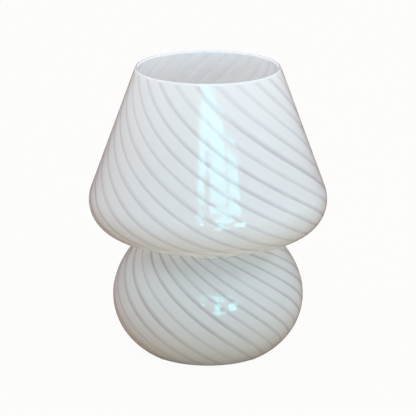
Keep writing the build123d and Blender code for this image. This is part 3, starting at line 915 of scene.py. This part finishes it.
def pressed_metal(finish, bright, dull, roughness):
    """Pressed sheet: draw marks round the axis and a little tarnish."""
    tarnish = finish.noise(160.0, 5.0, 0.65)
    marks = finish.noise(1.0, 3.0, 0.6, finish.stretched((40.0, 40.0, 5200.0)))
    return skin(finish, tarnish, bright, dull, marks, roughness + 0.16 * tarnish, 0.08, 0.008 * MM,
                Metallic=1.0)


def brass(finish):
    return pressed_metal(finish, (0.83, 0.64, 0.33), (0.62, 0.46, 0.23), 0.2)


def nickel(finish):
    return pressed_metal(finish, (0.78, 0.77, 0.74), (0.66, 0.65, 0.62), 0.16)


def copper(finish):
    """Enamelled wire, wound round the coil."""
    turns = finish.node("ShaderNodeTexWave", {"wave_type": "BANDS", "bands_direction": "Z"},
                        {"Vector": finish.place, "Scale": 320.0, "Distortion": 0.6}, "Fac")
    return skin(finish, turns, (0.36, 0.15, 0.06), (0.75, 0.36, 0.16), turns, 0.3, 0.1, 0.12 * MM,
                Metallic=0.9)


def bulb_diffuser(finish):
    """Opal plastic with a satin skin."""
    cloud, satin = finish.noise(90.0), finish.noise(3200.0, 2.0)
    return skin(finish, cloud, (0.88, 0.88, 0.86), (0.84, 0.84, 0.815), satin, 0.36, 0.1, 0.006 * MM,
                Subsurface_Weight=0.5, Subsurface_Scale=3.0 * MM)


def black_insulator(finish):
    grain = finish.noise(700.0)
    return skin(finish, grain, (0.025, 0.025, 0.028), (0.06, 0.06, 0.065), grain, 0.22, 0.2, 0.02 * MM)


def led_board_white(finish):
    """White solder mask with copper pads faintly raised under it."""
    tracks = finish.node("ShaderNodeTexVoronoi", {"feature": "DISTANCE_TO_EDGE"},
                         {"Vector": finish.place, "Scale": 170.0}, "Distance").step(0.02, 0.06)
    return skin(finish, tracks, (0.74, 0.74, 0.72), (0.88, 0.88, 0.87), tracks, 0.32, 0.1, 0.03 * MM)


def led_phosphor(finish):
    grain = finish.noise(2400.0)
    return finish.shade(
        Base_Color=finish.mix(grain, (0.90, 0.76, 0.22), (0.80, 0.64, 0.14)),
        Roughness=0.3 + 0.15 * grain,
        Subsurface_Weight=0.3,
        Subsurface_Scale=0.4 * MM,
    )


def circuit_board(finish):
    """Green solder mask over a pattern of tracks."""
    tracks = finish.node("ShaderNodeTexBrick", {"offset": 0.5},
                         {"Vector": finish.place, "Scale": 260.0, "Mortar Size": 0.08}, "Fac")
    return skin(finish, tracks, (0.06, 0.22, 0.11), (0.12, 0.36, 0.19), tracks, 0.3, 0.1, 0.03 * MM)


def capacitor_sleeve(finish):
    shrink = finish.noise(1.0, 3.0, 0.6, finish.stretched((300.0, 300.0, 1600.0)))
    return skin(finish, shrink, (0.035, 0.035, 0.07), (0.07, 0.07, 0.11), shrink, 0.25, 0.15, 0.03 * MM)


FINISHES = {build.__name__: build for build in (
    opal_glass, clear_pad, grommet_rubber, silicone, zinc_steel, spring_steel, white_plastic,
    bulb_plastic, porcelain, brass, nickel, copper, bulb_diffuser, black_insulator,
    led_board_white, led_phosphor, circuit_board, capacitor_sleeve)}
made = {}


def finish_of(slot):
    """The material of one of the record's slots, made when it is first asked for."""
    if slot not in made:
        made[slot] = FINISHES[slot](Finish(slot))
    return made[slot]


def dress(*nodes):
    """Gives CAD nodes the finish of their slot in the record."""
    slots = {part["node"]: part["material_slot"] for part in frame["record"]["subparts"]}
    for node in nodes:
        materials = frame["nodes"][node].data.materials
        materials.clear()
        materials.append(finish_of(slots[node]))


def mount_of(name):
    """Place and axis of one of the record's mounts."""
    mount = next(mount for mount in frame["record"]["mounts"] if mount["name"] == name)
    return Vector(mount["pos_m"]), Vector(mount["axis"])


# ---- operators
class LampStep(bpy.types.Operator):
    """Base of the lamp's operators."""

    bl_options = {"REGISTER", "UNDO"}

    def execute(self, context):
        self.build(context.scene)
        return {"FINISHED"}


class LAMP_OT_blow_glass(LampStep):
    """Blow the swirled glass, with its lip, neck, foot and drilled inlet"""

    bl_idname = "lamp.blow_glass"
    bl_label = "Blow the glass"

    def build(self, scene):
        sizes, swirl = scene.lamp_glass, scene.lamp_swirl
        low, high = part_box("glass_body")
        glass = turned("swirl_glass", glass_section(sizes, swirl, low.z, high.z), {
            "Columns": swirl.lines * swirl.columns,
            "Ribs": swirl.lines,
            "Groove Sharpness": swirl.groove,
            **dict(zip(SWAYS, swirl.sway)),
        })
        self.drill(glass, sizes.hole_radius, 4 * sizes.wall)
        turn_outwards(glass)
        wear(glass, "lamp", "opal_glass", "glass_body")

    def drill(self, glass, radius, reach):
        """The cord's hole, on the inlet's axis."""
        place, axis = mount_of("cord_inlet")
        across = Matrix.Translation(place) @ axis.to_track_quat("Z", "Y").to_matrix().to_4x4()
        mesh = bpy.data.meshes.new("inlet_drill")
        with edited(mesh) as solid:
            bmesh.ops.create_cone(solid, cap_ends=True, segments=64, radius1=radius, radius2=radius,
                                  depth=reach, matrix=across)
        drill = new_object("inlet_drill", mesh)
        cut = glass.modifiers.new("inlet", "BOOLEAN")
        cut.operation = "DIFFERENCE"
        cut.solver = "EXACT"
        cut.object = drill
        drilled = plain_mesh(glass, "swirl_glass")
        glass.modifiers.remove(cut)
        glass.data = drilled
        bpy.data.objects.remove(drill)


class LAMP_OT_stick_pads(LampStep):
    """Stick the soft pads under the foot"""

    bl_idname = "lamp.stick_pads"
    bl_label = "Stick the pads"

    def build(self, scene):
        low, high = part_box("foot_pads")
        place, _ = mount_of("table_rest")
        circle, first = place.xy.length, atan2(place.y, place.x)
        radius = high.x - circle * cos(first)
        flat, dome = 0.8 * radius, 0.35 * high.z
        section = Section()
        for row in range(5):
            section.add((flat * row / 4, low.z))
        for row in range(1, 7):
            edge = outward(-pi / 2 + pi / 2 * row / 6)
            section.add((flat + 0.2 * radius * edge.x, dome + dome * edge.y))
        section.add((0.97 * radius, high.z))
        section.add((0.0, high.z))
        pad = turned("one_pad", section, {"Columns": 40})
        pads = grown("bumper_pads", ring_of_copies, {
            "Pad": pad,
            "Count": 4,
            "Circle Radius": circle,
            "First Angle": first,
        })
        bpy.data.objects.remove(pad)
        wear(turn_outwards(pads), "lamp", "clear_pad", "foot_pads")


class LAMP_OT_fit_grommet(LampStep):
    """Push the grommet into the cord's inlet"""

    bl_idname = "lamp.fit_grommet"
    bl_label = "Fit the grommet"

    def build(self, scene):
        dress("cord_grommet")


class LAMP_OT_build_spider(LampStep):
    """Build the sprung spider that carries the lampholder in the neck"""

    bl_idname = "lamp.build_spider"
    bl_label = "Build the spider"

    def build(self, scene):
        wear(eased("spider_plate", "carrier_plate", 0.25 * MM), "fixture", "zinc_steel", "spider_plate")
        for number in (1, 2, 3):
            sleeve = f"arm_sleeve_{number}"
            wear(eased(sleeve, f"silicone_shoe_{number}", 0.5 * MM), "fixture", "silicone", sleeve)
            dress(f"spring_arm_{number}")
        dress("arm_rivets")


class LAMP_OT_build_lampholder(LampStep):
    """Build the lampholder with its rings, threads and contacts"""

    bl_idname = "lamp.build_lampholder"
    bl_label = "Build the lampholder"

    def build(self, scene):
        for node, name, width, slot in (
            ("clamp_ring_upper", "grip_ring_upper", 0.3 * MM, "white_plastic"),
            ("clamp_ring_lower", "grip_ring_lower", 0.3 * MM, "white_plastic"),
            ("holder_dome", "wiring_dome", 0.4 * MM, "white_plastic"),
            ("holder_insert", "porcelain_core", 0.3 * MM, "porcelain"),
        ):
            wear(eased(node, name, width), "fixture", slot, node)
        self.skirt(scene.lamp_thread)
        self.shell(scene.lamp_thread)
        dress("shell_rivets", "centre_contact", "side_contact", "terminal_screws")

    def skirt(self, sizes):
        """The plastic sleeve that the clamp rings screw on to."""
        low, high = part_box("holder_skirt")
        outer, inner, mouth = high.x, high.x - sizes.skirt_wall, sizes.skirt_mouth
        lip_low = high.z - sizes.skirt_lip
        corners = [(inner, low.z), (outer, low.z), (outer, high.z), (mouth, high.z),
                   (mouth, lip_low), (inner, lip_low)]
        skirt = threaded("threaded_skirt", corners, sizes.skirt_pitch, sizes.skirt_depth,
                         low=low.z + 1 * MM, high=high.z - 1.5 * MM, fade=1.5 * MM, wall=outer)
        wear(skirt, "fixture", "white_plastic", "holder_skirt")

    def shell(self, sizes):
        """The brass sleeve with the rolled thread that takes the bulb."""
        low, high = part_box("screw_shell")
        outer, inner, mouth = high.x, high.x - sizes.shell_wall, sizes.shell_mouth
        floor = low.z + sizes.shell_wall
        corners = [(mouth, low.z), (outer, low.z), (outer, high.z), (inner, high.z),
                   (inner, floor), (mouth, floor)]
        shell = threaded("rolled_shell", corners, sizes.pitch, sizes.depth,
                         low=floor + 1 * MM, high=high.z - 0.8 * MM, fade=2 * MM, wall=inner)
        wear(shell, "fixture", "brass", "screw_shell")


class LAMP_OT_build_bulb(LampStep):
    """Build the LED bulb"""

    bl_idname = "lamp.build_bulb"
    bl_label = "Build the bulb"

    def build(self, scene):
        sizes = scene.lamp_thread
        cap_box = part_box("bulb_cap")
        self.cap(sizes, *cap_box)
        self.housing(sizes, cap_box[1].z)
        self.insulator(sizes, cap_box[1].z)
        self.globe(sizes)
        dress("bulb_contact", "led_board", "led_chips", "driver_board", "driver_capacitor",
              "driver_coil", "driver_bridge")

    def cap(self, sizes, low, high):
        """The screw cap; its thread runs out to the root at both ends, so that it enters the shell."""
        root, mouth, wall = sizes.cap_radius - sizes.depth, sizes.cap_mouth, sizes.cap_wall
        collar_low = high.z - sizes.cap_collar
        side = [(root, low.z), (root, collar_low - 0.8 * MM), (sizes.cap_radius, collar_low),
                (high.x, high.z)]
        lining = [(radius - wall, height) for radius, height in side[:0:-1]]
        corners = [(mouth, low.z), *side, *lining, (root - wall, low.z + wall), (mouth, low.z + wall)]
        cap = threaded("rolled_cap", corners, sizes.pitch, -sizes.depth,
                       low=low.z + 1.2 * MM, high=collar_low - 1 * MM, fade=1.8 * MM, lead=0.5)
        wear(cap, "bulb", "nickel", "bulb_cap")

    def housing(self, sizes, cap_top):
        """The plastic body, its spigot drawn in to clear the cap's thread."""
        piece = eased("bulb_housing", "lamp_housing", 0.15 * MM)
        draw_in(piece, sizes.spigot, sizes.cap_radius, cap_top + 0.2 * MM, sizes.spigot_draw)
        wear(piece, "bulb", "bulb_plastic", "bulb_housing")

    def insulator(self, sizes, cap_top):
        """The cone under the cap, with its flange drawn in to stay inside the cap's thread."""
        piece = eased("bulb_insulator", "cap_insulator", 0.1 * MM)
        draw_in(piece, sizes.insulator, sizes.cap_radius, cap_top, sizes.insulator_draw)
        wear(piece, "bulb_tip", "black_insulator", "bulb_insulator")

    def globe(self, sizes):
        """The diffuser, a ball that ends on the housing."""
        low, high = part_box("bulb_globe")
        globe = turned_ball("opal_globe", high.z - high.x, high.x, high.x - sizes.globe_wall, low.z)
        wear(globe, "bulb", "bulb_diffuser", "bulb_globe")


def seen(net):
    """1 for camera, glossy and transmission rays, 0 for the rays that light a surface."""
    path = net.node("ShaderNodeLightPath", output="Is Camera Ray")
    shiny = net.maths("MAXIMUM", path, path.also("Is Glossy Ray"))
    return net.maths("MAXIMUM", shiny, path.also("Is Transmission Ray"))


class LAMP_OT_set_stage(LampStep):
    """Set the floor, the soft light, the window's reflection and the camera"""

    bl_idname = "lamp.set_stage"
    bl_label = "Set the stage"

    def build(self, scene):
        look = scene.lamp_stage
        scene.view_settings.view_transform = "Standard"
        self.world(scene, look)
        self.floor(look)
        self.window()
        self.soft_lamps()
        self.card(look)
        self.camera(scene, look)

    def world(self, scene, look):
        scene.world = bpy.data.worlds.new("studio")
        scene.world.use_nodes = True
        net = Net(scene.world.node_tree)
        way = net.split(net.node("ShaderNodeTexCoord", output="Generated"))
        side = (way * 0.85 - way.also(1) * 0.5).step(-0.8, 0.7)
        sides = net.mix(side, look.dim_side, look.bright_side)
        sky = net.mix(way.also(2).step(-0.1, 0.7), sides, look.sky)
        soft = net.node("ShaderNodeBackground", {}, {"Color": sky, "Strength": 1.2})
        white = net.node("ShaderNodeBackground", {}, {"Color": opaque(WHITE), "Strength": 1.0})
        sky = net.node("ShaderNodeMixShader", {}, {0: seen(net), 1: soft, 2: white})
        net.node("ShaderNodeOutputWorld", {}, {"Surface": sky})

    def disc(self, name, material, radius, lift=0.0, wall=0.0):
        """A flat disc, with a wall round it where one is asked for, that belongs to the stage."""
        mesh = bpy.data.meshes.new(name)
        with edited(mesh) as form:
            bmesh.ops.create_circle(form, cap_ends=True, segments=96, radius=radius,
                                    matrix=Matrix.Translation((0, 0, lift)))
            if wall:
                rim = [edge for edge in form.edges if edge.is_boundary]
                new = bmesh.ops.extrude_edge_only(form, edges=rim)["geom"]
                raised = [part for part in new if isinstance(part, bmesh.types.BMVert)]
                bmesh.ops.translate(form, verts=raised, vec=(0, 0, wall))
        mesh.materials.append(material)
        disc = new_object(name, mesh)
        return disc

    def floor(self, look):
        net = Finish("pale_floor")
        matt = net.node("ShaderNodeBsdfDiffuse", {}, {"Color": opaque(look.floor)})
        white = net.node("ShaderNodeEmission", {}, {"Color": opaque(WHITE), "Strength": 1.0})
        surface = net.node("ShaderNodeMixShader", {}, {0: seen(net) * 0.95, 1: matt, 2: white})
        self.disc("floor", net.close(surface), 4.0)

    def card(self, look):
        """A wide bowl that only reflections see, dark low down, so that the glass has darker edges."""
        radius, wall = 3.3, 2.0
        net = Finish("dark_card")
        rise = net.split(net.place).also(2)
        away = net.node("ShaderNodeVectorMath", {"operation": "LENGTH"}, {0: net.place}, "Value")
        level = 0.35 * away / radius + 0.65 * rise / wall
        shade = net.mix(level.step(0.12, 1.0), look.card, WHITE)
        glow = net.node("ShaderNodeEmission", {}, {"Color": shade, "Strength": 1.0})
        card = self.disc("dark_card", net.close(glow), radius, 0.5 * MM, wall)
        for rays in ("camera", "diffuse", "transmission", "shadow"):
            setattr(card, f"visible_{rays}", False)

    def lamp(self, name, place, aim, size, tint, radiance, spread=pi, glossy_only=False):
        """A flat rectangular lamp that shows only in reflections, or only in diffuse light."""
        light = bpy.data.lights.new(name, "AREA")
        light.shape = "RECTANGLE"
        light.size, light.size_y = size
        light.color = tint
        light.energy = radiance * size[0] * size[1] * pi
        light.spread = spread
        lamp = new_object(name, light)
        lamp.location = place
        lamp.rotation_mode = "QUATERNION"
        lamp.rotation_quaternion = (Vector(place) - Vector(aim)).to_track_quat("Z", "Y")
        lamp.visible_camera = False
        lamp.visible_diffuse = not glossy_only
        lamp.visible_glossy = glossy_only

    def window(self):
        """A lamp for each pane: degrees to the right of the front, metres above the table, strength."""
        panes = (
            (-11.0, -3.2, 1.44, 1.76, 1.0),
            (-3.2, 2.3, 1.60, 1.76, 1.0),
            (-3.2, 2.3, 1.53, 1.555, 1.0),
            (2.3, 20.2, 1.42, 1.66, 1.0),
            (2.3, 9.0, 1.66, 1.74, 1.0),
            (9.0, 14.5, 1.66, 1.70, 1.0),
            (21.9, 33.6, 1.32, 1.50, 1.0),
            (21.9, 27.5, 1.50, 1.55, 1.0),
            (-10.0, -4.5, 1.24, 1.395, 1.0),
            (6.0, 22.0, 1.14, 1.40, 1.2),
            (-9.8, -4.2, 0.84, 1.04, 1.6),
            (8.6, 14.6, 0.45, 0.98, 1.6),
            (24.5, 35.0, 0.35, 0.98, 1.6),
            (5.0, 21.5, 0.05, 0.34, 1.6),
        )
        away, radiance, tint = 3.1, 5.0, (0.20, 0.95, 1.0)
        for number, (left, right, low, high, share) in enumerate(panes, start=1):
            bearing = radians(left + right) / 2
            width = 2 * away * tan(radians(right - left) / 2)
            middle = (low + high) / 2
            self.lamp(f"pane_{number}", (away * sin(bearing), -away * cos(bearing), middle), (0, 0, middle),
                      (width, high - low), tint, radiance * share, glossy_only=True)

    def soft_lamps(self):
        """A soft key from the front, a fill from the right, and a thin strip for the fold at the neck."""
        middle, fold = (0, 0, 0.12), (0, -0.05, 0.094)
        self.lamp("key", (0.35, -1.7, 0.36), middle, (1.3, 0.7), (0.50, 0.93, 1.06), 2.6)
        self.lamp("neck_strip", (0.05, -0.75, 0.22), fold, (0.24, 0.008), (0.8, 0.8, 0.74), 0.4,
                  spread=radians(1))
        self.lamp("fill", (1.7, -0.5, 0.9), middle, (1.2, 1.2), (0.8, 0.95, 1.0), 0.6)

    def camera(self, scene, look):
        data = bpy.data.cameras.new("camera")
        data.sensor_width = 36.0
        data.lens = look.focal
        camera = new_object("camera", data)
        back = Vector((0, -cos(look.elevation), sin(look.elevation)))
        camera.location = Vector((0, 0, look.aim)) + back * look.distance
        camera.rotation_euler = back.to_track_quat("Z", "Y").to_euler()
        scene.camera = camera


STEPS = (LAMP_OT_blow_glass, LAMP_OT_stick_pads, LAMP_OT_fit_grommet, LAMP_OT_build_spider,
         LAMP_OT_build_lampholder, LAMP_OT_build_bulb, LAMP_OT_set_stage)


class LAMP_PT_steps(bpy.types.Panel):
    """Lists the lamp's steps and sizes."""

    bl_idname = "LAMP_PT_steps"
    bl_label = "Mushroom lamp"
    bl_space_type = "VIEW_3D"
    bl_region_type = "UI"
    bl_category = "Lamp"

    def draw(self, context):
        for step in STEPS:
            self.layout.operator(step.bl_idname)
        for name, group in GROUPS.items():
            box = self.layout.box()
            box.label(text=group.__doc__)
            for field in group.__annotations__:
                box.prop(getattr(context.scene, name), field)


CLASSES = (*GROUPS.values(), *STEPS, LAMP_PT_steps)


def register():
    for one in CLASSES:
        bpy.utils.register_class(one)
    for name, group in GROUPS.items():
        setattr(bpy.types.Scene, name, PointerProperty(type=group))


def unregister():
    for name in GROUPS:
        delattr(bpy.types.Scene, name)
    for one in reversed(CLASSES):
        bpy.utils.unregister_class(one)


def main():
    register()
    for step in STEPS:
        getattr(bpy.ops.lamp, step.bl_idname.split(".")[1])()


if __name__ == "__main__":
    main()
